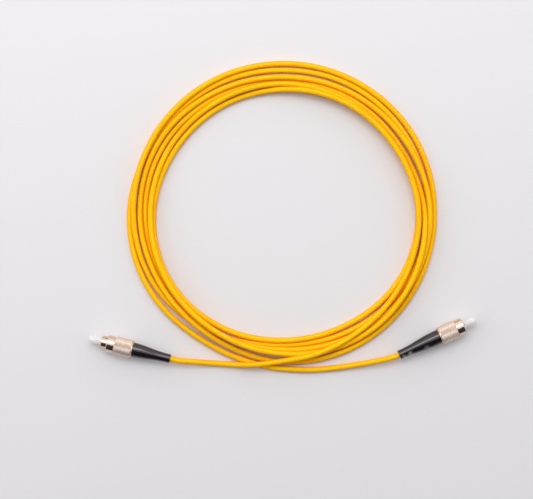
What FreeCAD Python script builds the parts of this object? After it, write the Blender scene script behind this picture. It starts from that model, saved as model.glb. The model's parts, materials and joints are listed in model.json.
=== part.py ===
"""Simplex fiber optic patch cord: a 3 mm jacketed cord of about 3 m lying in a loose coil,
with a threaded round plug, a strain relief boot and a dust cap at each end.

Millimetres, seen from above: +X to the right, +Y to the back, +Z up, the floor at Z = 0.
The origin is the middle of the whole object's outline, on the floor.
Each plug is built along its own axis, with +X forward and the plug frame's front face at 0,
then set down on the floor. All plug places named *_at are distances behind that face.
"""
import FreeCAD, Part
import math
import os

from FreeCAD import Placement, Rotation, Vector

# Cord
jacket_diameter = 3.0
buffer_diameter = 0.9
fibre_diameter = 0.125
fibre_hole_clearance = 0.002

# Coil of about six loose turns, as one ring: its front edge stays where the leads join it,
# and its turns bunch to one side, so that its hole is off its middle
coil_mean_radius = 74.25
coil_width = 14.9
coil_height = 7.2
coil_edge_rounding = 2.0
coil_middle_x = 0.2
coil_front_y = -80.3
coil_hole_shift = (1.4, -0.5)

# Ferrule and its holder
ferrule_diameter = 2.5
ferrule_length = 10.5
ferrule_reach = 3.0
ferrule_tip_chamfer = 0.35
holder_floor = 0.15
holder_chamfer = 0.3
holder_tail_diameter = 2.2
holder_tail_length = 5.4
holder_notch_width = 0.7
holder_notch_depth = 0.35
holder_notch_count = 4
ferrule_travel = 1.0

# Spring behind the holder
spring_wire = 0.4
spring_turns = 3.5
spring_end_gap = 0.02
spring_points_per_turn = 12

# Plug frame
barrel_diameter = 6.0
barrel_length = 11.75
barrel_mouth_length = 3.9
chamber_wall = 0.5
mouth_step = 0.35
mouth_chamfer = 0.25
key_width = 2.0
key_length = 3.2
key_set_back = 0.4
collar_at = 5.2
collar_length = 1.4

# Coupling nut
nut_length = 13.9
nut_front_wall = 0.4
nut_front_length = 4.1
nut_skirt_wall = 0.79
nut_groove_width = 0.4
nut_groove_depth = 0.1
nut_rim_length = 0.6
nut_rim_step = 0.2
nut_edge_chamfer = 0.3
thread_diameter = 8.0
thread_pitch = 0.75
thread_depth = 0.405
thread_relief = 1.4
nut_ring_shelf = 0.4
nut_forward_set_back = 0.1
nut_travel = 3.0

# Snap ring that keeps the nut on the plug
nut_ring_thickness = 0.6
nut_ring_catch = 0.25
nut_ring_groove_depth = 0.25
nut_ring_opening = 40.0

# Stop ring, which closes the frame's back
spigot_length = 1.1
stop_flange_length = 1.0
stop_flange_step = 0.2
crimp_barrel_length = 4.9
crimp_barrel_wall = 0.9
crimp_groove_pitch = 0.8
crimp_groove_depth = 0.12
crimp_groove_count = 5

# Yarn and crimp sleeve
yarn_thickness = 0.2
jacket_end_gap = 1.5
yarn_tip_diameter = 1.6
sleeve_wall = 0.35
sleeve_neck_length = 4.0

# Boot, whose taper goes through points of (share of its length, share of its fall left)
boot_front_wall = 0.95
boot_front_length = 7.0
boot_tail_wall = 0.6
boot_cord_clearance = 0.25
boot_length = 24.6
boot_taper = [(0.12, 0.86), (0.35, 0.54), (0.62, 0.16)]
boot_tail_rounding = 0.5
boot_mouth_flare = 0.4
largest_rounding_share = 0.8

# Dust cap
cap_reach = 6.5
cap_tip_wall = 0.8
cap_tip_rounding = 0.5
cap_end_gap = 0.45

# Clearances
glide_clearance = 0.1
seat_clearance = 0.02
stop_gap = 0.05
cap_clearance = 0.03
boot_clearance = 0.1
tail_clearance = 0.2
skirt_clearance = 0.12
thread_clearance = 0.1
notch_clearance = 0.06
part_gap = 0.1

# Where each plug lies: its frame's front face, its heading, its key's roll about its axis
# and whether its nut is drawn back
plugs = {
    "a": {"front": (-95.89, -66.42), "heading": 166.0, "key_roll": 75.0, "nut_back": True},
    "b": {"front": (95.75, -57.73), "heading": 24.8, "key_roll": -40.0, "nut_back": False},
}

# The two leads, from each plug to the coil, after two points on the plug's own axis
lead_straight_run = 5.0
lead_a_route = [
    (-31.5, -78.6, 0.8),
    (-15.0, -78.9, 5.2),
    (0.2, -76.6, 5.2),
]
lead_b_route = [
    (34.3, -79.9, 1.5),
    (15.0, -82.0, 1.5),
    (-3.0, -80.9, 1.5),
    (-13.0, -78.9, 1.5),
]
arc_share_of_run = 0.45

# Places along the plug that follow from the sizes above
collar_back_at = collar_at + collar_length
holder_front_at = barrel_mouth_length + stop_gap
ferrule_back_at = ferrule_length - ferrule_reach
holder_back_at = ferrule_back_at + holder_floor
holder_tail_end_at = holder_back_at + holder_tail_length
cap_open_at = holder_front_at - cap_end_gap
spigot_front_at = barrel_length - spigot_length
stop_flange_back_at = barrel_length + seat_clearance + stop_flange_length
crimp_barrel_end_at = stop_flange_back_at + crimp_barrel_length
jacket_end_at = crimp_barrel_end_at + jacket_end_gap
sleeve_front_at = stop_flange_back_at + part_gap
sleeve_cone_at = crimp_barrel_end_at + yarn_thickness
sleeve_neck_at = jacket_end_at + yarn_thickness
sleeve_end_at = sleeve_neck_at + sleeve_neck_length
boot_front_at = stop_flange_back_at + part_gap
boot_end_at = boot_front_at + boot_length
nut_front_back_at = nut_forward_set_back + nut_travel
nut_shoulder_from_front = collar_back_at - nut_forward_set_back + stop_gap
thread_length = nut_shoulder_from_front - thread_relief
nut_ring_end = barrel_length + seat_clearance - stop_gap - nut_front_back_at
nut_ring_front = nut_ring_end - nut_ring_thickness
nut_shoulder_end = nut_ring_front - seat_clearance - nut_ring_shelf

# Radii shared by pieces that fit
barrel_radius = barrel_diameter / 2
chamber_radius = barrel_radius - chamber_wall
mouth_radius = chamber_radius - mouth_step
cap_radius = mouth_radius - glide_clearance
holder_head_radius = chamber_radius - glide_clearance
holder_tail_radius = holder_tail_diameter / 2
spring_radius = (holder_tail_radius + chamber_radius) / 2
stop_bore_radius = holder_tail_radius + tail_clearance
jacket_radius = jacket_diameter / 2
crimp_radius = stop_bore_radius + crimp_barrel_wall
yarn_radius = crimp_radius + seat_clearance + yarn_thickness
sleeve_bore_radius = yarn_radius + seat_clearance
sleeve_radius = sleeve_bore_radius + sleeve_wall
neck_bore_radius = jacket_radius + seat_clearance
neck_radius = neck_bore_radius + sleeve_wall
boot_front_radius = sleeve_radius + boot_clearance + boot_front_wall
boot_cord_bore_radius = jacket_radius + boot_cord_clearance
boot_tail_radius = boot_cord_bore_radius + boot_tail_wall
stop_flange_radius = boot_front_radius - stop_flange_step
thread_crest_radius = thread_diameter / 2 - thread_depth
shoulder_bore_radius = barrel_radius + glide_clearance
collar_radius = thread_crest_radius - thread_clearance
skirt_bore_radius = boot_front_radius + skirt_clearance
nut_front_radius = thread_diameter / 2 + nut_front_wall
nut_grip_radius = skirt_bore_radius + nut_skirt_wall
nut_ring_radius = skirt_bore_radius + nut_ring_groove_depth - stop_gap
nut_ring_bore_radius = stop_flange_radius - nut_ring_catch
axis_height = max(nut_grip_radius, nut_front_radius)


def turned(outline):
    """A solid turned about the plug's axis from (distance behind the face, radius) points."""
    corners = [Vector(-back, 0, radius) for back, radius in outline]
    face = Part.Face(Part.makePolygon(corners + corners[:1]))
    solid = face.revolve(Vector(0, 0, 0), Vector(1, 0, 0), 360)
    return Part.Solid(solid.Shells[0]) if solid.ShapeType != "Solid" else solid


def rounded(solid, radius, back, edge_radius):
    """The solid with its round edge of edge_radius at the distance back rounded off."""
    edges = [
        edge
        for edge in solid.Edges
        if isinstance(edge.Curve, Part.Circle)
        and abs(edge.Curve.Center.x + back) < 1e-4
        and abs(edge.Curve.Radius - edge_radius) < 1e-4
    ]
    return solid.makeFillet(radius, edges)


def box_on_axis(front_at, length, width, inner_radius, outer_radius, roll):
    """A straight-sided block standing out from the axis at the given roll angle."""
    block = Part.makeBox(
        length,
        width,
        outer_radius - inner_radius,
        Vector(-front_at - length, -width / 2, inner_radius),
    )
    block.rotate(Vector(0, 0, 0), Vector(1, 0, 0), roll)
    return block


def ferrule():
    """Ceramic rod with a chamfered tip and the fibre's hole along it."""
    radius = ferrule_diameter / 2
    hole = fibre_diameter / 2 + fibre_hole_clearance
    return turned([
        (-ferrule_reach, hole),
        (-ferrule_reach, radius - ferrule_tip_chamfer),
        (-ferrule_reach + ferrule_tip_chamfer, radius),
        (ferrule_back_at, radius),
        (ferrule_back_at, hole),
    ])


def ferrule_holder(key_roll):
    """Flange pressed on the ferrule, with notches for the frame's rib and a hollow tail."""
    seat = ferrule_diameter / 2 + seat_clearance
    seat_end_at = ferrule_back_at + seat_clearance
    head = holder_head_radius
    tail = holder_tail_radius
    bore = buffer_diameter / 2 + seat_clearance
    holder = turned([
        (holder_front_at, seat),
        (holder_front_at, head - holder_chamfer),
        (holder_front_at + holder_chamfer, head),
        (holder_back_at, head),
        (holder_back_at, tail),
        (holder_tail_end_at, tail),
        (holder_tail_end_at, bore),
        (seat_end_at, bore),
        (seat_end_at, seat),
    ])
    for number in range(holder_notch_count):
        holder = holder.cut(box_on_axis(
            holder_front_at - part_gap,
            holder_back_at - holder_front_at + 2 * part_gap,
            holder_notch_width,
            head - holder_notch_depth,
            head + part_gap,
            key_roll + number * 360 / holder_notch_count,
        ))
    return holder


def fibre():
    """Bare fibre in the ferrule and its buffer in the holder's tail."""
    bare = fibre_diameter / 2
    buffer = buffer_diameter / 2
    return turned([
        (-ferrule_reach, 0),
        (-ferrule_reach, bare),
        (ferrule_back_at + seat_clearance, bare),
        (ferrule_back_at + seat_clearance, buffer),
        (holder_tail_end_at, buffer),
        (holder_tail_end_at, 0),
    ])


def buffer():
    """Buffered fibre from the holder's tail to the cord's jacket."""
    radius = buffer_diameter / 2
    return turned([
        (holder_tail_end_at, 0),
        (holder_tail_end_at, radius),
        (jacket_end_at, radius),
        (jacket_end_at, 0),
    ])


def spring():
    """Coil spring between the holder's head and the stop ring."""
    first = holder_back_at + spring_end_gap + spring_wire / 2
    last = spigot_front_at - spring_end_gap - spring_wire / 2
    steps = math.ceil(spring_turns * spring_points_per_turn)
    points = []
    for step in range(steps + 1):
        share = step / steps
        angle = 2 * math.pi * spring_turns * share
        back = first + (last - first) * share
        points.append(Vector(
            -back, spring_radius * math.sin(angle), spring_radius * math.cos(angle)))
    helix = Part.BSplineCurve()
    helix.interpolate(points)
    heading = helix.tangent(helix.FirstParameter)[0]
    ring = Part.makeCircle(spring_wire / 2, points[0], heading)
    wire = Part.Wire([helix.toShape()]).makePipeShell([Part.Wire([ring])], True, False)
    return Part.Solid(wire.Shells[0])


def plug_frame(key_roll):
    """Barrel with the mouth, the spring chamber, the nut's collar, the key and the rib."""
    frame = turned([
        (0, mouth_radius + mouth_chamfer),
        (0, barrel_radius - mouth_chamfer),
        (mouth_chamfer, barrel_radius),
        (collar_at, barrel_radius),
        (collar_at, collar_radius),
        (collar_back_at, collar_radius),
        (collar_back_at, barrel_radius),
        (barrel_length, barrel_radius),
        (barrel_length, chamber_radius),
        (barrel_mouth_length, chamber_radius),
        (barrel_mouth_length, mouth_radius),
        (mouth_chamfer, mouth_radius),
    ])
    wall_middle = (barrel_radius + chamber_radius) / 2
    key_room = Part.makeCylinder(
        collar_radius, collar_at, Vector(-collar_at, 0, 0), Vector(1, 0, 0))
    key = box_on_axis(
        key_set_back, key_length, key_width, wall_middle, collar_radius, key_roll)
    rib = box_on_axis(
        barrel_mouth_length,
        holder_back_at + ferrule_travel - barrel_mouth_length,
        holder_notch_width - 2 * notch_clearance,
        holder_head_radius - holder_notch_depth + notch_clearance,
        wall_middle,
        key_roll,
    )
    return frame.fuse([key.common(key_room), rib]).removeSplitter()


def coupling_nut(set_back):
    """Nut with a smooth front, a knurled grip, a thread, a shoulder and the ring's groove."""
    front = nut_front_radius
    grip = nut_grip_radius
    rim = grip - nut_rim_step
    neck = front - nut_groove_depth
    root = thread_diameter / 2
    ring_groove = skirt_bore_radius + nut_ring_groove_depth
    groove_front = nut_ring_front - seat_clearance
    groove_back = nut_ring_end + seat_clearance
    knurl_end = nut_length - nut_rim_length
    thread_count = int(thread_length / thread_pitch)
    outline = [
        (0, thread_crest_radius + nut_edge_chamfer),
        (0, front - nut_edge_chamfer),
        (nut_edge_chamfer, front),
        (nut_front_length - nut_groove_width, front),
        (nut_front_length - nut_groove_width, neck),
        (nut_front_length, neck),
        (nut_front_length, grip - nut_edge_chamfer),
        (nut_front_length + nut_edge_chamfer, grip),
        (knurl_end - nut_edge_chamfer, grip),
        (knurl_end, rim),
        (nut_length, rim),
        (nut_length, skirt_bore_radius),
        (groove_back, skirt_bore_radius),
        (groove_back, ring_groove),
        (groove_front, ring_groove),
        (groove_front, skirt_bore_radius),
        (nut_shoulder_end, skirt_bore_radius),
        (nut_shoulder_end, shoulder_bore_radius),
        (nut_shoulder_from_front, shoulder_bore_radius),
        (nut_shoulder_from_front, root),
        (thread_count * thread_pitch + thread_pitch / 2, root),
    ]
    for number in range(thread_count, 0, -1):
        crest = number * thread_pitch
        outline.append((crest, thread_crest_radius))
        if number > 1:
            outline.append((crest - thread_pitch / 2, root))
    outline.append((nut_edge_chamfer, thread_crest_radius))
    nut = turned(outline)
    nut.translate(Vector(-set_back, 0, 0))
    return nut


def nut_ring(set_back):
    """Split ring of flat wire in the nut's groove."""
    face = Part.Face(Part.makePolygon([
        Vector(-nut_ring_front, 0, nut_ring_bore_radius),
        Vector(-nut_ring_front, 0, nut_ring_radius),
        Vector(-nut_ring_end, 0, nut_ring_radius),
        Vector(-nut_ring_end, 0, nut_ring_bore_radius),
        Vector(-nut_ring_front, 0, nut_ring_bore_radius),
    ]))
    ring = face.revolve(Vector(0, 0, 0), Vector(1, 0, 0), 360 - nut_ring_opening)
    ring.translate(Vector(-set_back, 0, 0))
    return ring


def stop_ring():
    """Rear body: a spigot in the frame, a flange and a grooved barrel for the crimp."""
    spigot = chamber_radius - seat_clearance
    outline = [
        (spigot_front_at, stop_bore_radius),
        (spigot_front_at, spigot),
        (barrel_length + seat_clearance, spigot),
        (barrel_length + seat_clearance, stop_flange_radius),
        (stop_flange_back_at, stop_flange_radius),
        (stop_flange_back_at, crimp_radius),
    ]
    for number in range(1, crimp_groove_count + 1):
        middle = stop_flange_back_at + number * crimp_groove_pitch
        outline += [
            (middle - crimp_groove_depth, crimp_radius),
            (middle, crimp_radius - crimp_groove_depth),
            (middle + crimp_groove_depth, crimp_radius),
        ]
    outline += [
        (crimp_barrel_end_at, crimp_radius),
        (crimp_barrel_end_at, stop_bore_radius),
    ]
    return turned(outline)


def aramid_yarn():
    """Yarn laid round the crimp barrel and drawn in to the end of the jacket."""
    outer = yarn_radius
    inner = crimp_radius + seat_clearance
    tip_outer = yarn_tip_diameter / 2 + yarn_thickness
    tip_inner = yarn_tip_diameter / 2
    front_at = sleeve_front_at + part_gap
    bend_at = crimp_barrel_end_at + seat_clearance
    tip_at = jacket_end_at - seat_clearance
    return turned([
        (front_at, inner),
        (front_at, outer),
        (bend_at, outer),
        (tip_at, tip_outer),
        (tip_at, tip_inner),
        (bend_at, inner),
    ])


def crimp_sleeve():
    """Stepped sleeve over the yarn, with a neck that grips the jacket."""
    return turned([
        (sleeve_front_at, sleeve_bore_radius),
        (sleeve_front_at, sleeve_radius),
        (sleeve_cone_at, sleeve_radius),
        (sleeve_neck_at, neck_radius),
        (sleeve_end_at, neck_radius),
        (sleeve_end_at, neck_bore_radius),
        (sleeve_neck_at, neck_bore_radius),
        (sleeve_cone_at, sleeve_bore_radius),
    ])


def boot():
    """Tapered strain relief over the crimp sleeve and the cord."""
    front = boot_front_radius
    tail = boot_tail_radius
    pocket = sleeve_radius + boot_clearance
    neck = neck_radius + boot_clearance
    cord_bore = boot_cord_bore_radius
    mouth = cord_bore + boot_mouth_flare / 2
    flare_at = boot_end_at - boot_mouth_flare
    taper_at = boot_front_at + boot_front_length
    taper = [
        (taper_at + along * (boot_end_at - taper_at), tail + fall_left * (front - tail))
        for along, fall_left in boot_taper
    ]
    body = turned([
        (boot_front_at, pocket),
        (boot_front_at, front),
        (taper_at, front),
        *taper,
        (boot_end_at, tail),
        (boot_end_at, mouth),
        (flare_at, cord_bore),
        (sleeve_end_at + boot_clearance, cord_bore),
        (sleeve_end_at + boot_clearance, neck),
        (sleeve_neck_at + boot_clearance, neck),
        (sleeve_cone_at + boot_clearance, pocket),
    ])
    rounding = min(boot_tail_rounding, largest_rounding_share * (tail - mouth))
    return rounded(body, rounding, boot_end_at, tail)


def dust_cap():
    """Thin plastic cap over the ferrule, closed at its tip."""
    bore = ferrule_diameter / 2 + cap_clearance
    bore_end_at = cap_tip_wall - cap_reach
    body = turned([
        (-cap_reach, 0),
        (-cap_reach, cap_radius),
        (cap_open_at, cap_radius),
        (cap_open_at, bore),
        (bore_end_at, bore),
        (bore_end_at, 0),
    ])
    return rounded(body, cap_tip_rounding, -cap_reach, cap_radius)


def plug_placement(plug):
    """Where the plug's own axes go: on the floor, at its place and heading."""
    x, y = plug["front"]
    return Placement(Vector(x, y, axis_height), Rotation(Vector(0, 0, 1), plug["heading"]))


def on_axis(plug, distance_behind):
    """The point on a plug's axis at a distance behind its frame's front face."""
    return plug_placement(plug).multVec(Vector(-distance_behind, 0, 0))


def cord_tube(name, points):
    """A tube of straight runs joined by tangent arcs through hand-laid points."""
    edges = []
    start = points[0]
    radii = []
    for before, corner, after in zip(points, points[1:], points[2:]):
        run_in = corner - before
        run_out = after - corner
        turn = run_in.getAngle(run_out)
        cut_back = arc_share_of_run * min(run_in.Length, run_out.Length)
        radius = cut_back / math.tan(turn / 2)
        way_in = Vector(run_in).normalize()
        way_out = Vector(run_out).normalize()
        arc_start = corner - way_in * cut_back
        arc_end = corner + way_out * cut_back
        inward = (way_out - way_in).normalize()
        middle = corner + inward * (radius / math.cos(turn / 2) - radius)
        edges.append(Part.LineSegment(start, arc_start).toShape())
        edges.append(Part.Arc(arc_start, middle, arc_end).toShape())
        radii.append(radius)
        start = arc_end
    edges.append(Part.LineSegment(start, points[-1]).toShape())
    path = Part.Wire(edges)
    ring = Part.makeCircle(jacket_radius, points[0], points[1] - points[0])
    tube = Part.Solid(path.makePipeShell([Part.Wire([ring])], True, False).Shells[0])
    expected = path.Length * math.pi * jacket_radius**2
    print(name, "length", round(path.Length, 1), "mm, bend radii",
          [round(radius, 1) for radius in radii],
          "volume share", round(tube.Volume / expected, 4))
    return tube


def lead(name, plug, route):
    """A lead from inside its boot to the coil."""
    straight = [on_axis(plug, jacket_end_at), on_axis(plug, boot_end_at + lead_straight_run)]
    return cord_tube(name, straight + [Vector(*point) for point in route])


def cord_coil():
    """The outer shape of the loose coil: a low ring with rounded edges."""
    outer_radius = coil_mean_radius + coil_width / 2
    inner_radius = coil_mean_radius - coil_width / 2
    middle = Vector(coil_middle_x, coil_front_y + outer_radius, 0)
    disc = Part.makeCylinder(outer_radius, coil_height, middle)
    hole = Part.makeCylinder(
        inner_radius, coil_height, middle + Vector(*coil_hole_shift, 0))
    ring = disc.cut(hole)
    rims = [edge for edge in ring.Edges if isinstance(edge.Curve, Part.Circle)]
    return ring.makeFillet(coil_edge_rounding, rims)


def plug_pieces(plug):
    """Every piece of one plug, along the plug's own axis."""
    roll = plug["key_roll"]
    set_back = nut_front_back_at if plug["nut_back"] else nut_forward_set_back
    return {
        "ferrule": ferrule(),
        "ferrule_holder": ferrule_holder(roll),
        "fibre": fibre(),
        "buffer": buffer(),
        "spring": spring(),
        "plug_frame": plug_frame(roll),
        "coupling_nut": coupling_nut(set_back),
        "nut_ring": nut_ring(set_back),
        "stop_ring": stop_ring(),
        "aramid_yarn": aramid_yarn(),
        "crimp_sleeve": crimp_sleeve(),
        "boot": boot(),
        "dust_cap": dust_cap(),
    }


def build():
    """Every node of the patch cord, in its place."""
    nodes = {}
    for end, plug in plugs.items():
        for name, piece in plug_pieces(plug).items():
            piece.Placement = plug_placement(plug).multiply(piece.Placement)
            nodes[f"{name}_{end}"] = piece
    nodes["lead_a"] = lead("lead_a", plugs["a"], lead_a_route)
    nodes["lead_b"] = lead("lead_b", plugs["b"], lead_b_route)
    nodes["cord_coil"] = cord_coil()
    return nodes


os.makedirs("parts", exist_ok=True)
for node, shape in build().items():
    if not shape.isValid() or shape.Volume <= 0:
        print("not a valid solid:", node)
    shape.exportStep(f"parts/{node}.step")
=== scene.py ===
"""Looks of a simplex fiber optic patch cord: a yellow jacketed cord in a loose coil of six turns,
with a knurled round plug, a black boot and a milky dust cap at each end.

Metres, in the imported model's frame: the floor at Z = 0 and the camera straight above.
Names that end in _MM are in millimetres, and so is every plug profile, as pairs of the
distance behind the plug frame's front face and the radius from the plug's own axis.
"""
import bmesh
import bpy
import json
import math
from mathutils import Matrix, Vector


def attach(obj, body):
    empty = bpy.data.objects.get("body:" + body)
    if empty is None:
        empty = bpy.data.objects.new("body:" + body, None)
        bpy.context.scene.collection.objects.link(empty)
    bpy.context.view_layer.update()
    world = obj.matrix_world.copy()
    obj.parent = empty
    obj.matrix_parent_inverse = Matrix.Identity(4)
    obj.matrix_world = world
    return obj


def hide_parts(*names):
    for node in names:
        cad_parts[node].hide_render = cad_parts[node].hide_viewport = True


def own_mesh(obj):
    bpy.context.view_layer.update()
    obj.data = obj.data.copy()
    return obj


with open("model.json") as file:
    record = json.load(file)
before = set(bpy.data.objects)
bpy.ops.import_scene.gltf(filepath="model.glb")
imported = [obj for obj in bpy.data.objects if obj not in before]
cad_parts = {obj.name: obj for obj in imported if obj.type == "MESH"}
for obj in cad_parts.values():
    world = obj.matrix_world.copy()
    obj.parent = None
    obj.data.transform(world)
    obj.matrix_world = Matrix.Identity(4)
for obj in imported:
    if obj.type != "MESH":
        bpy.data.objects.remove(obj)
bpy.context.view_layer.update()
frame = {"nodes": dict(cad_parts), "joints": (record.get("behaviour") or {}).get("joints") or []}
scene = bpy.context.scene
MM = 0.001
UP = Vector((0, 0, 1))
ENDS = ("a", "b")

# Camera, straight down at the photograph's scale
IMAGE_WIDTH_MM = 282.5
LENS_MM = 85.0
SENSOR_MM = 36.0
VIEW_CENTRE_MM = (-8.5, -17.6)
CORD_LEVEL_MM = 4.0
CAMERA_REACH_M = 10

# Cord, whose jacket starts inside the boots and leaves them straight
JACKET_MM = 3.0
JACKET_RADIUS_MM = JACKET_MM / 2
JACKET_END_MM = 19.17
LEAD_STRAIGHT_MM = (34.4, 41.8)
LEAD_A_ROUTE_MM = (
    (-46.5, -77.2, 3.2),
    (-31.5, -78.6, 0.8),
    (-15.0, -78.9, 5.2),
    (0.2, -76.6, 5.2),
)
LEAD_B_ROUTE_MM = (
    (34.3, -79.9, 1.5),
    (15.0, -82.0, 1.5),
    (-3.0, -80.9, 1.5),
    (-13.0, -78.9, 1.5),
)
SPLINE_RESOLUTION = 8
TUBE_RESOLUTION = 8

# Coil: each turn's radius at every 30 degrees, counterclockwise from the front. The spline
# runs a little inside its control points, at a share of their radius.
COIL_CENTRE_MM = (0.21, 2.23)
FIRST_TURN_START_DEG = 270.0
HAND_POINTS_PER_TURN = 12
TURN_RADII_MM = (
    (78.5, 75.0, 73.4, 71.8, 68.5, 66.5, 65.0, 65.1, 66.1, 68.9, 70.3, 69.5),
    (68.1, 68.9, 71.7, 72.0, 69.0, 68.0, 68.0, 68.1, 69.3, 70.2, 71.3, 72.4),
    (75.0, 78.0, 77.5, 75.0, 71.5, 70.0, 69.5, 70.5, 72.7, 73.1, 73.0, 73.0),
    (73.0, 75.5, 78.0, 78.0, 75.0, 73.0, 71.5, 73.1, 75.7, 76.0, 75.3, 76.0),
    (79.5, 81.0, 81.0, 80.5, 80.5, 79.5, 79.0, 79.0, 79.2, 79.3, 78.4, 73.9),
    (70.5, 72.5, 75.5, 77.0, 77.0, 76.5, 75.5, 76.5, 78.0, 81.5, 82.1, 80.3),
)
LAST_RADIUS_MM = 83.0
POINTS_PER_TURN = 36
SPLINE_CUT = 0.9962

# The coil's stack, the lowest turn first, and the same where turns cross, from angle to angle
STACK = (5, 4, 3, 2, 1, 0)
CROSSED_STACKS = (
    (45, 120, (5, 4, 2, 3, 1, 0)),
    (120, 250, (5, 4, 2, 3, 0, 1)),
)

# How a strand settles on those below it: round a coil of the mean radius, with its tightest
# bend up or down, the points to each side that it bridges, how much of each neighbour a
# point takes, and how often all that is done
MEAN_RADIUS_MM = 75.0
HEIGHT_BEND_MM = 80.0
HEIGHT_REACH = 4
HEIGHT_EASE = 0.25
HEIGHT_PASSES = 12

# Meshes of the plug: sides of a round, the share of an edge that a rounding may take, the
# bend that needs none, edges that stay sharp, and how many roundings long a flat run is held
SIDES = 96
LARGEST_CUT_SHARE = 0.4
NEARLY_STRAIGHT_DEG = 8
SHARP_DEG = 35
LONG_RUN = 4.5

# Coupling nut, measured from its own front: its mouth and smooth front, groove, knurl and rim
KNURL_COUNT = 48
KNURL_ROW_MM = 0.46
KNURL_DEPTH_MM = 0.12
KNURL_CHAMFER_MM = 0.16
NUT_SIDES = 2 * KNURL_COUNT
NUT_FRONT_MM = 4.4
NUT_FRONT_LENGTH_MM = 4.1
NUT_MOUTH_MM = 0.4
NUT_FRONT_CHAMFER_MM = 0.28
NUT_GROOVE_MM = 0.4
NUT_GROOVE_DEPTH_MM = 0.1
NUT_EDGE_MM = 0.02
NUT_RIM_MM = 0.6
NUT_RIM_STEP_MM = 0.03
NUT_RIM_CHAMFER_MM = 0.3
NUT_ROUNDING_MM = 0.07

# Inside the nut, from its front too: its thread, then its shoulder and the snap ring's
# groove, each from and to
THREAD_PITCH_MM = 0.75
THREAD_CREST_MM = 3.595
THREAD_ROOT_MM = 4.0
THREAD_LENGTH_MM = 5.15
THREAD_LEAD_IN_MM = 0.3
THREAD_RUN_OUT_MM = 0.1
THREAD_ROWS_PER_TURN = 8
SHOULDER_MM = (6.55, 7.6)
SHOULDER_BORE_MM = 3.1
SKIRT_BORE_MM = 3.96
RING_GROOVE_MM = (8.0, 8.64)
RING_GROOVE_RADIUS_MM = 4.21

# Plug frame: its barrel, the mouth and the spring's chamber in it, and its collar, from and to
BARREL_RADIUS_MM = 3.0
BARREL_CHAMFER_MM = 0.22
MOUTH_RADIUS_MM = 2.15
MOUTH_CHAMFER_MM = 0.25
MOUTH_LENGTH_MM = 3.9
CHAMBER_RADIUS_MM = 2.5
COLLAR_MM = (5.2, 6.6)
COLLAR_RADIUS_MM = 3.495
FRAME_ROUNDING_MM = 0.08

# Key on the barrel: its turn from straight up, and where it runs from and to
KEY_ROLL_DEG = {"a": 75.0, "b": -40.0}
KEY_MM = (0.4, 3.6)
KEY_HALF_WIDTH_MM = 0.98
KEY_TOP_RADIUS_MM = 3.45
KEY_FOOT_MM = 2.8
KEY_TOP_STEPS = 8
KEY_SHARP_DEG = 40
KEY_BEVEL_MM = 0.12
KEY_BEVEL_SEGMENTS = 3

# Boot: its radii at even steps from front to tail, and its bore with a wider tail and front
BOOT_RADII_MM = (
    3.84, 3.84, 3.82, 3.78, 3.68, 3.49, 3.27, 3.02, 2.76, 2.56, 2.43, 2.36, 2.35)
BOOT_RINGS_PER_SPAN = 4
BOOT_BORE_MM = 1.75
BOOT_FLARE_MM = (0.4, 0.2)
BOOT_INSIDE_MM = ((23.47, 1.75), (23.47, 1.97), (19.47, 1.97), (17.97, 2.89))
BOOT_ROUNDING_MM = 0.22

# Dust cap
CAP_BORE_MM = 1.28
CAP_TIP_WALL_MM = 0.8
CAP_TIP_EDGE_MM = 0.03
CAP_ROUNDING_MM = 0.4

# Ferrule: the fibre's hole, and a tip that is dished within its foremost ring, and domed
# and chamfered outside it
FERRULE_HOLE_MM = 0.0645
FERRULE_DISH_MM = 0.02
FERRULE_FOREMOST_MM = 0.5
FERRULE_DOME_MM = 0.05
FERRULE_CHAMFER_MM = 0.35
FERRULE_ROUNDING_MM = 0.06

# Spring and buffer behind the ferrule
SPRING_WIRE_MM = 0.4
SPRING_TURNS = 3.5
SPRING_STEPS_PER_TURN = 32
SPRING_WIRE_SIDES = 12
BUFFER_SIDES = 32

# Scuffs on the worn boot: behind its plug's face, out from the axis, degrees round, reach
WORN_END = "b"
SCUFFS_MM = (
    (22.6, 3.0, 48, 2.2),
    (31.9, 2.5, 40, 1.9),
    (35.4, 2.4, 42, 1.6),
)

# Studio, in metres. The floor's colour holds painted shade: it fades from a darker near colour
# to its far colour between two places along Y. The lamps have a name, a place, a size and watts.
ROOM_COLOUR = (1.1, 1.07, 1.06)
FLOOR_SIZE = 8
# Painted shade: the near colour is darker, standing in for light falling off towards the viewer
FLOOR_SHADED_NEAR_COLOUR = (0.745, 0.745, 0.77)
FLOOR_FAR_COLOUR = (0.785, 0.785, 0.81)
FLOOR_SHADE_FADE = (-0.16, 0.1)
LAMPS = (
    ("softbox", (-0.12, 0.45, 0.96), (0.75, 0.44), 3.2),
    ("side_softbox", (-1.6, 0.35, 0.9), (1.0, 0.8), 3.6),
)
FLAG_CORNERS = ((-0.85, -1.8, 0.0), (1.2, -1.8, 0.0), (1.4, -0.3, 1.8), (-1.35, -0.3, 1.8))
FLAG_COLOUR = (0.03, 0.027, 0.028)


def joint(name):
    """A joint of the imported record."""
    return next(row for row in frame["joints"] if row["name"] == name)


def plug_axis(end):
    """The centre of a plug frame's front face and the way its plug points, in metres."""
    turn = joint(f"nut_turn_{end}")
    return Vector(turn["pos_m"]), Vector(turn["axis"]).normalized()


def on_axis(end, back_mm):
    """The point on a plug's axis at a distance behind its frame's front face."""
    front, ahead = plug_axis(end)
    return front - ahead * back_mm * MM


def outward(end, angle):
    """The direction away from a plug's axis at an angle round it, measured from straight up."""
    ahead = plug_axis(end)[1]
    return UP * math.cos(angle) + ahead.cross(UP) * math.sin(angle)


def span_mm(node, end):
    """Where a solid of a plug starts and ends behind the frame's face, and how far out it goes."""
    front, ahead = plug_axis(end)
    backs = []
    reaches = []
    for vertex in frame["nodes"][node].data.vertices:
        offset = vertex.co - front
        along = offset.dot(ahead)
        backs.append(-along / MM)
        reaches.append((offset - ahead * along).length / MM)
    return min(backs), max(backs), max(reaches)


# Materials


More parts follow.
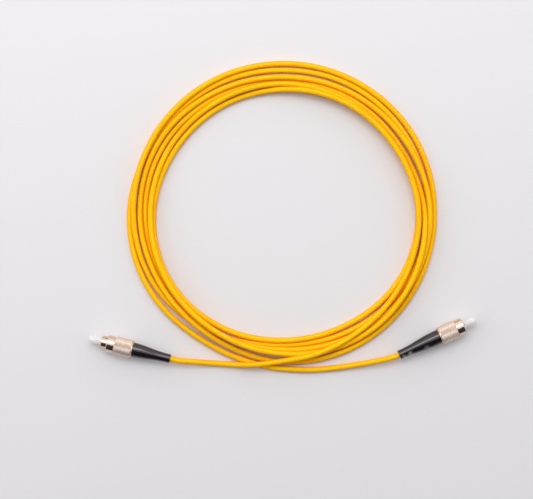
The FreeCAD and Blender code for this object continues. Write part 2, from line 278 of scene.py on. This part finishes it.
def node_material(name):
    """An empty node material with its tree and its surface shader."""
    material = bpy.data.materials.new(name)
    material.use_nodes = True
    tree = material.node_tree
    return material, tree, tree.nodes["Principled BSDF"]


def set_plain(shader, **values):
    """Set sockets of the surface shader that have one value all over."""
    for name, value in values.items():
        shader.inputs[name.replace("_", " ")].default_value = value


def noise(tree, scale, detail=4.0, stretch=(1, 1, 1), distortion=0.0):
    """Noise in the piece's own coordinates, with its scale per metre."""
    place = tree.nodes.new("ShaderNodeTexCoord")
    mapping = tree.nodes.new("ShaderNodeMapping")
    mapping.inputs["Scale"].default_value = stretch
    texture = tree.nodes.new("ShaderNodeTexNoise")
    texture.inputs["Scale"].default_value = scale
    texture.inputs["Detail"].default_value = detail
    texture.inputs["Distortion"].default_value = distortion
    tree.links.new(place.outputs["Object"], mapping.inputs["Vector"])
    tree.links.new(mapping.outputs["Vector"], texture.inputs["Vector"])
    return texture.outputs["Fac"]


def spread(tree, factor, low, high, start=0.35, end=0.65):
    """A factor mapped to a range of values."""
    node = tree.nodes.new("ShaderNodeMapRange")
    node.inputs["From Min"].default_value = start
    node.inputs["From Max"].default_value = end
    node.inputs["To Min"].default_value = low
    node.inputs["To Max"].default_value = high
    tree.links.new(factor, node.inputs["Value"])
    return node.outputs["Result"]


def blended(tree, factor, first, second):
    """A colour between two, by a factor; each is a colour or a socket."""
    node = tree.nodes.new("ShaderNodeMix")
    node.data_type = "RGBA"
    tree.links.new(factor, node.inputs["Factor"])
    for socket, value in (("A", first), ("B", second)):
        target = next(s for s in node.inputs if s.name == socket and s.type == "RGBA")
        if isinstance(value, tuple):
            target.default_value = (*value, 1)
        else:
            tree.links.new(value, target)
    return next(s for s in node.outputs if s.type == "RGBA")


def bumped(tree, shader, factor, strength, depth_mm):
    """Small relief from a factor."""
    node = tree.nodes.new("ShaderNodeBump")
    node.inputs["Strength"].default_value = strength
    node.inputs["Distance"].default_value = depth_mm * MM
    tree.links.new(factor, node.inputs["Height"])
    tree.links.new(node.outputs["Normal"], shader.inputs["Normal"])


def varied(name, colours, patch, roughness, grain, grain_mm, stretch=(1, 1, 1), **plain):
    """A material with two near colours in soft patches, an uneven gloss and a fine grain.
    Patch and grain are how many there are to the metre."""
    material, tree, shader = node_material(name)
    patches = noise(tree, patch, stretch=stretch)
    fine = noise(tree, grain, detail=3.0, stretch=stretch)
    tree.links.new(
        blended(tree, spread(tree, patches, low=0, high=1), *colours), shader.inputs["Base Color"])
    tree.links.new(spread(tree, fine, *roughness), shader.inputs["Roughness"])
    bumped(tree, shader, fine, strength=0.5, depth_mm=grain_mm)
    set_plain(shader, **plain)
    return material


def set_scatter(material, *reach):
    """How far red, green and blue light spread under the surface, as shares of its scale."""
    material.node_tree.nodes["Principled BSDF"].inputs["Subsurface Radius"].default_value = reach


def jacket_material():
    """Yellow-orange jacket, satin, a little uneven along its length."""
    material = varied(
        "jacket", colours=((1.0, 0.98, 0.022), (1.0, 0.93, 0.018)), patch=90,
        roughness=(0.4, 0.52), grain=2600, grain_mm=0.008,
        IOR=1.5, Specular_IOR_Level=0.1, Subsurface_Weight=0.6, Subsurface_Scale=0.0012,
        Coat_Weight=1.0, Coat_IOR=1.06, Coat_Roughness=0.4, Coat_Tint=(1.0, 0.62, 0.42, 1))
    set_scatter(material, 1.0, 0.4, 0.05)
    return material


def combined(tree, operation, first, second):
    """Two factors put together by an operation."""
    node = tree.nodes.new("ShaderNodeMath")
    node.operation = operation
    tree.links.new(first, node.inputs[0])
    tree.links.new(second, node.inputs[1])
    return node.outputs["Value"]


def worn_near(tree, spots):
    """A factor that is high close to any of some spots on the worn boot."""
    place = tree.nodes.new("ShaderNodeTexCoord")
    total = None
    for back, out, degrees, reach in spots:
        way = outward(WORN_END, math.radians(degrees))
        middle = on_axis(WORN_END, back) + way * out * MM
        node = tree.nodes.new("ShaderNodeVectorMath")
        node.operation = "DISTANCE"
        node.inputs[1].default_value = middle
        tree.links.new(place.outputs["Object"], node.inputs[0])
        near = spread(tree, node.outputs["Value"], low=1, high=0, start=0, end=reach * MM)
        total = near if total is None else combined(tree, "MAXIMUM", total, near)
    return total


def boot_material(name, scuffed):
    """Glossy black boot, with small pale scuffs where it has been rubbed."""
    black = (0.008, 0.004, 0.007)
    lighter_black = (0.013, 0.008, 0.013)
    scuff = (0.36, 0.34, 0.345)
    material, tree, shader = node_material(name)
    fine = noise(tree, 3600, detail=2.0)
    patches = noise(tree, 160, detail=5.0)
    colour = blended(tree, spread(tree, patches, low=0, high=1), black, lighter_black)
    if scuffed:
        marks = noise(tree, 900, detail=6.0, distortion=0.8)
        rough_marks = spread(tree, marks, low=0, high=1, start=0.38, end=0.58)
        rubbed = combined(tree, "MULTIPLY", rough_marks, worn_near(tree, SCUFFS_MM))
        colour = blended(tree, rubbed, colour, scuff)
    tree.links.new(colour, shader.inputs["Base Color"])
    tree.links.new(spread(tree, patches, low=0.08, high=0.13), shader.inputs["Roughness"])
    bumped(tree, shader, fine, strength=0.2, depth_mm=0.003)
    set_plain(shader, IOR=1.69)
    return material


def metal_material(name, colours, roughness, patch=300):
    """Plated or bare metal with soft patches and a fine grain."""
    return varied(
        name, colours, patch, roughness, grain=1800, grain_mm=0.004, Metallic=1.0)


def cap_material():
    """Milky translucent plastic of the dust cap."""
    material = varied(
        "cap_plastic", colours=((0.97, 0.95, 0.94), (0.99, 0.97, 0.96)), patch=400,
        roughness=(0.35, 0.45), grain=1500, grain_mm=0.004,
        IOR=1.4, Specular_IOR_Level=0.25, Subsurface_Weight=0.7, Subsurface_Scale=0.0004,
        Alpha=0.55)
    set_scatter(material, 1.0, 1.0, 1.0)
    return material


def glass_material():
    """Clear glass of the bare fibre, faintly uneven."""
    return varied(
        "fibre_glass", colours=((0.9, 0.94, 0.95), (0.97, 0.98, 0.98)), patch=900,
        roughness=(0.03, 0.08), grain=4000, grain_mm=0.001, IOR=1.46, Transmission_Weight=0.8)


def make_materials():
    """Every material of the object by name."""
    nickel = ((0.74, 0.57, 0.44), (0.8, 0.65, 0.53))
    cut_nickel = ((0.76, 0.63, 0.54), (0.84, 0.7, 0.6))
    bright_steel = ((0.5, 0.49, 0.47), (0.62, 0.61, 0.59))
    grey_steel = ((0.42, 0.42, 0.43), (0.56, 0.56, 0.57))
    copper = ((0.72, 0.35, 0.2), (0.82, 0.47, 0.29))
    return {
        "cord_jacket": jacket_material(),
        "boot_rubber": boot_material("boot_rubber", scuffed=False),
        "boot_rubber_worn": boot_material("boot_rubber_worn", scuffed=True),
        "plated_nut": metal_material("plated_nut", nickel, roughness=(0.1, 0.2)),
        "plated_knurl": metal_material(
            "plated_knurl", cut_nickel, roughness=(0.2, 0.3), patch=1500),
        "plated_body": metal_material("plated_body", nickel, roughness=(0.12, 0.22)),
        "ring_wire": metal_material("ring_wire", bright_steel, roughness=(0.25, 0.4)),
        "spring_wire": metal_material("spring_wire", grey_steel, roughness=(0.22, 0.35)),
        "crimp_copper": metal_material("crimp_copper", copper, roughness=(0.25, 0.45)),
        "ferrule_ceramic": varied(
            "ferrule_ceramic", colours=((0.88, 0.87, 0.84), (0.93, 0.92, 0.9)), patch=700,
            roughness=(0.08, 0.16), grain=3000, grain_mm=0.002, IOR=1.9),
        "fibre_glass": glass_material(),
        "yarn": varied(
            "yarn", colours=((0.82, 0.6, 0.16), (0.9, 0.72, 0.3)), patch=2200,
            roughness=(0.6, 0.85), grain=5200, grain_mm=0.03, stretch=(0.2, 1, 1)),
        "buffer": varied(
            "buffer", colours=((0.9, 0.88, 0.82), (0.95, 0.93, 0.88)), patch=500,
            roughness=(0.35, 0.5), grain=3000, grain_mm=0.004),
        "cap_plastic": cap_material(),
    }


# Geometry


def softened(profile, size_mm, steps=3):
    """A closed profile with its corners rounded by a small curve, and held flat beside them."""
    result = []
    count = len(profile)
    for index, corner in enumerate(profile):
        here = Vector(corner)
        before = Vector(profile[index - 1]) - here
        after = Vector(profile[(index + 1) % count]) - here
        if corner[1] == 0 or before.angle(-after) < math.radians(NEARLY_STRAIGHT_DEG):
            result.append(tuple(here))
            continue
        cut_in = before.normalized() * min(size_mm, LARGEST_CUT_SHARE * before.length)
        cut_out = after.normalized() * min(size_mm, LARGEST_CUT_SHARE * after.length)
        if before.length > LONG_RUN * cut_in.length:
            result.append(tuple(here + 2 * cut_in))
        for step in range(steps + 1):
            share = step / steps
            point = here + cut_in * (1 - share) ** 2 + cut_out * share**2
            result.append(tuple(point))
        if after.length > LONG_RUN * cut_out.length:
            result.append(tuple(here + 2 * cut_out))
    return result


def rings_object(name, end, rings, sides, closed=True, studded=range(0)):
    """A mesh through rings round a plug's axis; a ring is (back, radius or radii).
    The studded rows are flat triangles of the second material, between alternate corners."""
    mesh = bmesh.new()
    angles = [2 * math.pi * side / sides for side in range(sides)]
    ways = [outward(end, angle) for angle in angles]
    loops = []
    for back, radius in rings:
        middle = on_axis(end, back)
        if radius == 0:
            loops.append([mesh.verts.new(middle)])
            continue
        reach = [radius] * sides if isinstance(radius, (int, float)) else radius
        loops.append([
            mesh.verts.new(middle + way * length * MM) for way, length in zip(ways, reach)
        ])
    pairs = list(zip(loops, loops[1:]))
    if closed:
        pairs.append((loops[-1], loops[0]))
    for row, (first, second) in enumerate(pairs):
        for side in range(sides):
            beyond = (side + 1) % sides
            corners = [
                first[side % len(first)], first[beyond % len(first)],
                second[beyond % len(second)], second[side % len(second)],
            ]
            if row in studded:
                turn = 1 - (row + side) % 2
                corners = corners[turn:] + corners[:turn]
                mesh.faces.new(corners[:3]).material_index = 1
                mesh.faces.new(corners[2:] + corners[:1]).material_index = 1
                continue
            corners = list(dict.fromkeys(corners))
            if len(corners) > 2:
                mesh.faces.new(corners)
    return mesh_object(name, mesh)


def mesh_object(name, mesh):
    """An object from a mesh, smooth with its sharp edges kept."""
    bmesh.ops.recalc_face_normals(mesh, faces=mesh.faces)
    for face in mesh.faces:
        face.smooth = face.material_index == 0
    for edge in mesh.edges:
        if len(edge.link_faces) == 2 and edge.calc_face_angle() > math.radians(SHARP_DEG):
            edge.smooth = False
    data = bpy.data.meshes.new(name)
    mesh.to_mesh(data)
    mesh.free()
    piece = bpy.data.objects.new(name, data)
    scene.collection.objects.link(piece)
    return piece


def dressed(piece, body, slot, material, *nodes):
    """A piece with its material that rides on a body and stands for its solids."""
    piece.data.materials.append(material)
    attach(piece, body)
    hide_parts(*nodes)


# Cord


def eased(values, position):
    """A smooth value between the given ones, by a curve through all of them."""
    whole = math.floor(position)
    share = position - whole
    last = len(values) - 1
    before, here, there, beyond = (
        values[max(0, min(last, whole + step))] for step in (-1, 0, 1, 2)
    )
    slope = there - before
    dip = 2 * before - 5 * here + 4 * there - beyond
    twist = 3 * here - before - 3 * there + beyond
    return 0.5 * (2 * here + slope * share + dip * share**2 + twist * share**3)


def turns_from_below(angle):
    """Which turn lies on which at an angle round the coil, the lowest first."""
    for start, end, stack in CROSSED_STACKS:
        if start <= angle % 360 < end:
            return stack
    return STACK


def settled_heights(radii):
    """The height of each point of the turns, each strand lying on those that it crosses."""
    count = len(radii)
    step = 2 * math.pi * MEAN_RADIUS_MM / POINTS_PER_TURN
    heights = [JACKET_RADIUS_MM] * count
    for _ in range(HEIGHT_PASSES):
        laid = list(heights)
        for place in range(POINTS_PER_TURN):
            angle = FIRST_TURN_START_DEG + place * 360 / POINTS_PER_TURN
            below = []
            for turn in turns_from_below(angle):
                index = turn * POINTS_PER_TURN + place
                height = JACKET_RADIUS_MM
                for other in below:
                    gap = abs(radii[index] - radii[other])
                    if gap < JACKET_MM:
                        height = max(
                            height, heights[other] + math.sqrt(JACKET_MM**2 - gap**2))
                laid[index] = height
                below.append(index)
        bridged = [
            max(
                laid[max(0, min(count - 1, index + shift))]
                - (shift * step) ** 2 / (2 * HEIGHT_BEND_MM)
                for shift in range(-HEIGHT_REACH, HEIGHT_REACH + 1)
            )
            for index in range(count)
        ]
        heights = [
            HEIGHT_EASE * bridged[max(0, index - 1)]
            + (1 - 2 * HEIGHT_EASE) * bridged[index]
            + HEIGHT_EASE * bridged[min(count - 1, index + 1)]
            for index in range(count)
        ]
    return heights


def coil_points():
    """Control points of the six turns, from the first lead's end to the last lead's start."""
    hand = [radius for turn in TURN_RADII_MM for radius in turn] + [LAST_RADIUS_MM]
    count = POINTS_PER_TURN * len(TURN_RADII_MM)
    radii = [
        eased(hand, index * HAND_POINTS_PER_TURN / POINTS_PER_TURN) for index in range(count)
    ]
    heights = settled_heights(radii)
    points = []
    for index in range(1, count - 1):
        angle = math.radians(FIRST_TURN_START_DEG + index * 360 / POINTS_PER_TURN)
        reach = radii[index] / SPLINE_CUT
        points.append(Vector((
            COIL_CENTRE_MM[0] + reach * math.cos(angle),
            COIL_CENTRE_MM[1] + reach * math.sin(angle),
            heights[index],
        )) * MM)
    return points


def cord_points():
    """All control points of the cord, from one plug's boot to the other's."""
    straight = (JACKET_END_MM, *LEAD_STRAIGHT_MM)
    points = [on_axis("a", back) for back in straight]
    points += [Vector(point) * MM for point in LEAD_A_ROUTE_MM]
    points += coil_points()
    points += [Vector(point) * MM for point in reversed(LEAD_B_ROUTE_MM)]
    points += [on_axis("b", back) for back in reversed(straight)]
    return points


def spline_object(name, points, radius):
    """A round smooth tube along one spline with these control points."""
    curve = bpy.data.curves.new(name, "CURVE")
    curve.dimensions = "3D"
    spline = curve.splines.new("NURBS")
    spline.points.add(len(points) - 1)
    for control, point in zip(spline.points, points):
        control.co = (*point, 1)
    spline.order_u = 3
    spline.use_endpoint_u = True
    spline.resolution_u = SPLINE_RESOLUTION
    curve.bevel_depth = radius
    curve.bevel_resolution = TUBE_RESOLUTION
    curve.use_fill_caps = True
    tube = bpy.data.objects.new(name, curve)
    scene.collection.objects.link(tube)
    return tube


def make_cord(materials):
    """The jacketed cord, from boot to boot."""
    cord = spline_object("cord", cord_points(), JACKET_RADIUS_MM * MM)
    dressed(cord, "cord", "cord_jacket", materials["cord_jacket"],
            "cord_coil", "lead_a", "lead_b")
    return cord


# Plug pieces


def zigzag(value):
    """A wave of straight slopes between 0 and 1, with its crests at whole numbers."""
    return abs(2 * (value % 1) - 1)


def make_nut(end, materials):
    """Coupling nut: smooth front, groove, knurled grip, rim, and a helical thread inside."""
    node = f"coupling_nut_{end}"
    front_at, rear_at, grip = span_mm(node, end)
    length = rear_at - front_at
    front = NUT_FRONT_MM
    neck = front - NUT_GROOVE_DEPTH_MM
    rim = grip - NUT_RIM_STEP_MM
    knurl_start = NUT_FRONT_LENGTH_MM
    knurl_end = length - NUT_RIM_MM
    valley = grip - KNURL_DEPTH_MM
    mouth = THREAD_CREST_MM + THREAD_LEAD_IN_MM
    rings = []

    def plain(points):
        for place, radius in softened(points, NUT_ROUNDING_MM)[1:-1]:
            rings.append((front_at + place, radius))

    plain([
        (NUT_MOUTH_MM, mouth), (0, mouth),
        (0, front - NUT_FRONT_CHAMFER_MM), (NUT_FRONT_CHAMFER_MM, front),
        (knurl_start - NUT_GROOVE_MM, front), (knurl_start - NUT_GROOVE_MM, neck),
        (knurl_start - NUT_EDGE_MM, neck), (knurl_start, front),
    ])
    first_knurl = len(rings)
    rings.append((front_at + knurl_start, valley - KNURL_CHAMFER_MM))
    studded_length = knurl_end - knurl_start - 2 * KNURL_CHAMFER_MM
    rows = round(studded_length / KNURL_ROW_MM)
    for row in range(rows + 1):
        place = knurl_start + KNURL_CHAMFER_MM + studded_length * row / rows
        parity = len(rings)
        radii = [
            grip if (parity + side) % 2 == 0 else valley for side in range(NUT_SIDES)
        ]
        rings.append((front_at + place, radii))
    rings.append((front_at + knurl_end, valley - KNURL_CHAMFER_MM))
    last_knurl = len(rings) - 1
    groove_start, groove_end = RING_GROOVE_MM
    shoulder_start, shoulder_end = SHOULDER_MM
    plain([
        (knurl_end, front), (knurl_end + NUT_EDGE_MM, rim),
        (length - NUT_RIM_CHAMFER_MM, rim), (length, rim - NUT_RIM_CHAMFER_MM),
        (length, SKIRT_BORE_MM),
        (groove_end, SKIRT_BORE_MM), (groove_end, RING_GROOVE_RADIUS_MM),
        (groove_start, RING_GROOVE_RADIUS_MM), (groove_start, SKIRT_BORE_MM),
        (shoulder_end, SKIRT_BORE_MM), (shoulder_end, SHOULDER_BORE_MM),
        (shoulder_start, SHOULDER_BORE_MM), (shoulder_start, THREAD_ROOT_MM),
        (THREAD_LENGTH_MM + THREAD_RUN_OUT_MM, THREAD_ROOT_MM),
    ])
    thread_rows = round(THREAD_LENGTH_MM / THREAD_PITCH_MM * THREAD_ROWS_PER_TURN)
    depth = THREAD_ROOT_MM - THREAD_CREST_MM
    for row in range(thread_rows, -1, -1):
        place = THREAD_LENGTH_MM * row / thread_rows
        pitches = place / THREAD_PITCH_MM
        radii = [
            max(mouth - place, THREAD_CREST_MM + depth * zigzag(pitches + side / NUT_SIDES))
            for side in range(NUT_SIDES)
        ]
        rings.append((front_at + place, radii))
    piece = rings_object(
        f"nut_{end}_knurled", end, rings, NUT_SIDES, studded=range(first_knurl, last_knurl))
    dressed(piece, f"nut_{end}", "plated_nut", materials["plated_nut"], node)
    piece.data.materials.append(materials["plated_knurl"])


def make_frame(end, materials):
    """Plug frame: a polished barrel with its mouth, collar, key and spring chamber."""
    node = f"plug_frame_{end}"
    rear = span_mm(node, end)[1]
    collar_start, collar_end = COLLAR_MM
    profile = softened([
        (0, MOUTH_RADIUS_MM + MOUTH_CHAMFER_MM), (0, BARREL_RADIUS_MM - BARREL_CHAMFER_MM),
        (BARREL_CHAMFER_MM, BARREL_RADIUS_MM), (collar_start, BARREL_RADIUS_MM),
        (collar_start, COLLAR_RADIUS_MM), (collar_end, COLLAR_RADIUS_MM),
        (collar_end, BARREL_RADIUS_MM), (rear, BARREL_RADIUS_MM),
        (rear, CHAMBER_RADIUS_MM), (MOUTH_LENGTH_MM, CHAMBER_RADIUS_MM),
        (MOUTH_LENGTH_MM, MOUTH_RADIUS_MM), (MOUTH_CHAMFER_MM, MOUTH_RADIUS_MM),
    ], FRAME_ROUNDING_MM)
    barrel = rings_object(f"barrel_{end}", end, profile, SIDES)
    dressed(barrel, "cord", "plated_body", materials["plated_body"], node)
    key = make_key(end)
    dressed(key, "cord", "plated_body", materials["plated_body"], node)


def make_key(end):
    """The key on the barrel, with soft edges and a top that follows the barrel's round."""
    ahead = plug_axis(end)[1]
    out = outward(end, math.radians(KEY_ROLL_DEG[end]))
    across = out.cross(ahead)
    outline = [(-KEY_HALF_WIDTH_MM, KEY_FOOT_MM)]
    for step in range(KEY_TOP_STEPS + 1):
        side = KEY_HALF_WIDTH_MM * (2 * step / KEY_TOP_STEPS - 1)
        outline.append((side, math.sqrt(KEY_TOP_RADIUS_MM**2 - side**2)))
    outline.append((KEY_HALF_WIDTH_MM, KEY_FOOT_MM))
    mesh = bmesh.new()
    ends = []
    for back in KEY_MM:
        ends.append([
            mesh.verts.new(on_axis(end, back) + (across * side + out * height) * MM)
            for side, height in outline
        ])
    mesh.faces.new(ends[0])
    mesh.faces.new(list(reversed(ends[1])))
    count = len(outline)
    for index in range(count):
        beyond = (index + 1) % count
        mesh.faces.new([ends[0][index], ends[1][index], ends[1][beyond], ends[0][beyond]])
    bmesh.ops.recalc_face_normals(mesh, faces=mesh.faces)
    sharp = [
        edge for edge in mesh.edges if edge.calc_face_angle() > math.radians(KEY_SHARP_DEG)
    ]
    bmesh.ops.bevel(
        mesh, geom=sharp, offset=KEY_BEVEL_MM * MM, segments=KEY_BEVEL_SEGMENTS, affect="EDGES")
    return mesh_object(f"key_{end}", mesh)


def make_boot(end, materials):
    """Tapered boot, whose outline falls from the front to the tail in a soft S."""
    node = f"boot_{end}"
    front_at, rear, _ = span_mm(node, end)
    flare, widening = BOOT_FLARE_MM
    spans = len(BOOT_RADII_MM) - 1
    ring_count = spans * BOOT_RINGS_PER_SPAN
    profile = [(front_at, BOOT_INSIDE_MM[-1][1])]
    for ring in range(ring_count + 1):
        share = ring / ring_count
        profile.append((
            front_at + (rear - front_at) * share, eased(BOOT_RADII_MM, share * spans)))
    profile += [
        (rear, BOOT_BORE_MM + widening), (rear - flare, BOOT_BORE_MM), *BOOT_INSIDE_MM,
    ]
    profile = softened(profile, BOOT_ROUNDING_MM, steps=4)
    piece = rings_object(f"boot_{end}_tapered", end, profile, SIDES)
    finish = "boot_rubber_worn" if end == WORN_END else "boot_rubber"
    dressed(piece, "cord", "boot_rubber", materials[finish], node)


def make_cap(end, materials):
    """Dust cap: a thin closed sleeve with a rounded tip."""
    node = f"dust_cap_{end}"
    tip, open_at, radius = span_mm(node, end)
    inside = tip + CAP_TIP_WALL_MM
    profile = softened([
        (tip, 0), (tip, radius - CAP_TIP_EDGE_MM), (tip + CAP_TIP_EDGE_MM, radius),
        (open_at, radius), (open_at, CAP_BORE_MM), (inside, CAP_BORE_MM), (inside, 0),
    ], CAP_ROUNDING_MM, steps=5)
    piece = rings_object(f"cap_{end}_milky", end, profile, SIDES, closed=False)
    dressed(piece, f"cap_{end}", "cap_plastic", materials["cap_plastic"], node)


def make_ferrule(end, materials):
    """Ceramic ferrule with a domed and chamfered tip."""
    node = f"ferrule_{end}"
    tip, rear, radius = span_mm(node, end)
    profile = softened([
        (tip + FERRULE_DISH_MM, FERRULE_HOLE_MM), (tip, FERRULE_FOREMOST_MM),
        (tip + FERRULE_DOME_MM, radius - FERRULE_CHAMFER_MM), (tip + FERRULE_CHAMFER_MM, radius),
        (rear, radius), (rear, FERRULE_HOLE_MM),
    ], FERRULE_ROUNDING_MM)
    piece = rings_object(f"ferrule_{end}_ground", end, profile, SIDES)
    dressed(piece, f"ferrule_{end}", "ferrule_ceramic", materials["ferrule_ceramic"], node)


def make_spring(end, materials):
    """Coil spring between the ferrule's holder and the stop ring."""
    node = f"spring_{end}"
    front_at, rear_at, reach = span_mm(node, end)
    wire = SPRING_WIRE_MM / 2
    ahead = plug_axis(end)[1]
    steps = round(SPRING_TURNS * SPRING_STEPS_PER_TURN)
    mesh = bmesh.new()
    loops = []
    for step in range(steps + 1):
        share = step / steps
        out = outward(end, 2 * math.pi * SPRING_TURNS * share)
        back = front_at + wire + (rear_at - front_at - 2 * wire) * share
        middle = on_axis(end, back) + out * (reach - wire) * MM
        loop = []
        for side in range(SPRING_WIRE_SIDES):
            around = 2 * math.pi * side / SPRING_WIRE_SIDES
            way = out * math.cos(around) + ahead * math.sin(around)
            loop.append(mesh.verts.new(middle + way * wire * MM))
        loops.append(loop)
    for first, second in zip(loops, loops[1:]):
        for side in range(SPRING_WIRE_SIDES):
            beyond = (side + 1) % SPRING_WIRE_SIDES
            mesh.faces.new([first[side], first[beyond], second[beyond], second[side]])
    mesh.faces.new(loops[0])
    mesh.faces.new(loops[-1])
    piece = mesh_object(f"spring_{end}_wound", mesh)
    dressed(piece, "cord", "spring_wire", materials["spring_wire"], node)
    shorten(piece)


def make_buffer(end, materials):
    """Buffered fibre between the ferrule's holder and the jacket."""
    node = f"buffer_{end}"
    front_at, rear_at, radius = span_mm(node, end)
    profile = [(front_at, 0), (front_at, radius), (rear_at, radius), (rear_at, 0)]
    piece = rings_object(f"buffer_{end}_tight", end, profile, BUFFER_SIDES, closed=False)
    dressed(piece, "cord", "fibre_glass", materials["buffer"], node)
    shorten(piece)


def shorten(piece):
    """Give a piece behind the ferrule a mesh of its own."""
    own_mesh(piece)


def paint_solids(materials):
    """Give every solid that still shows its own finish."""
    finishes = {
        "nut_ring": "ring_wire", "stop_ring": "plated_body", "aramid_yarn": "yarn",
        "crimp_sleeve": "crimp_copper", "ferrule_holder": "plated_body", "fibre": "fibre_glass",
    }
    for name, finish in finishes.items():
        for end in ENDS:
            node = frame["nodes"][f"{name}_{end}"]
            if not node.material_slots:
                node.data.materials.append(None)
            for material_slot in node.material_slots:
                material_slot.material = materials[finish]


# Studio


def make_camera():
    """Camera straight above the middle of the photograph."""
    data = bpy.data.cameras.new("camera")
    data.lens = LENS_MM
    data.sensor_width = SENSOR_MM
    data.clip_end = CAMERA_REACH_M
    camera = bpy.data.objects.new("camera", data)
    height = IMAGE_WIDTH_MM * LENS_MM / SENSOR_MM + CORD_LEVEL_MM
    camera.location = Vector((*VIEW_CENTRE_MM, height)) * MM
    scene.collection.objects.link(camera)
    scene.camera = camera


def make_floor():
    """A wide pale sheet under the object, with painted shade that makes it a little darker towards
    the viewer.
    """
    bpy.ops.mesh.primitive_plane_add(size=FLOOR_SIZE, location=(0, 0, 0))
    floor = bpy.context.object
    floor.name = "floor"
    material, tree, shader = node_material("floor")
    place = tree.nodes.new("ShaderNodeTexCoord")
    parts = tree.nodes.new("ShaderNodeSeparateXYZ")
    tree.links.new(place.outputs["Object"], parts.inputs["Vector"])
    start, end = FLOOR_SHADE_FADE
    # Painted shade: the floor's colour darkens towards the viewer, standing in for light falling
    # off
    painted_shade = spread(tree, parts.outputs["Y"], low=0, high=1, start=start, end=end)
    colour = blended(tree, painted_shade, FLOOR_SHADED_NEAR_COLOUR, FLOOR_FAR_COLOUR)
    tree.links.new(colour, shader.inputs["Base Color"])
    set_plain(shader, Roughness=0.85)
    floor.data.materials.append(material)


def make_lamps():
    """A wide soft lamp high on the far side, and another on the left."""
    for name, place, size, power in LAMPS:
        data = bpy.data.lights.new(name, "AREA")
        data.shape = "RECTANGLE"
        data.size, data.size_y = size
        data.energy = power
        lamp = bpy.data.objects.new(name, data)
        lamp.location = place
        lamp.rotation_mode = "QUATERNION"
        lamp.rotation_quaternion = (-Vector(place)).to_track_quat("-Z", "Y")
        scene.collection.objects.link(lamp)


def make_flag():
    """A dark panel leaning over from the near side, out of the camera's sight, which gives
    the plugs their dark lower halves."""
    mesh = bmesh.new()
    mesh.faces.new([mesh.verts.new(corner) for corner in FLAG_CORNERS])
    flag = mesh_object("flag", mesh)
    material, _, shader = node_material("flag")
    set_plain(shader, Base_Color=(*FLAG_COLOUR, 1), Roughness=0.9)
    flag.data.materials.append(material)
    flag.visible_camera = False


def make_world():
    """A plain pale room."""
    world = bpy.data.worlds.new("studio")
    world.use_nodes = True
    world.node_tree.nodes["Background"].inputs["Color"].default_value = (*ROOM_COLOUR, 1)
    scene.world = world


def main():
    """Build the whole scene."""
    scene.view_settings.view_transform = "Standard"
    make_camera()
    make_floor()
    make_flag()
    make_world()
    make_lamps()
    materials = make_materials()
    cord = make_cord(materials)
    for end in ENDS:
        make_nut(end, materials)
        make_frame(end, materials)
        make_boot(end, materials)
        make_cap(end, materials)
        make_ferrule(end, materials)
        make_spring(end, materials)
        make_buffer(end, materials)
    paint_solids(materials)


main()
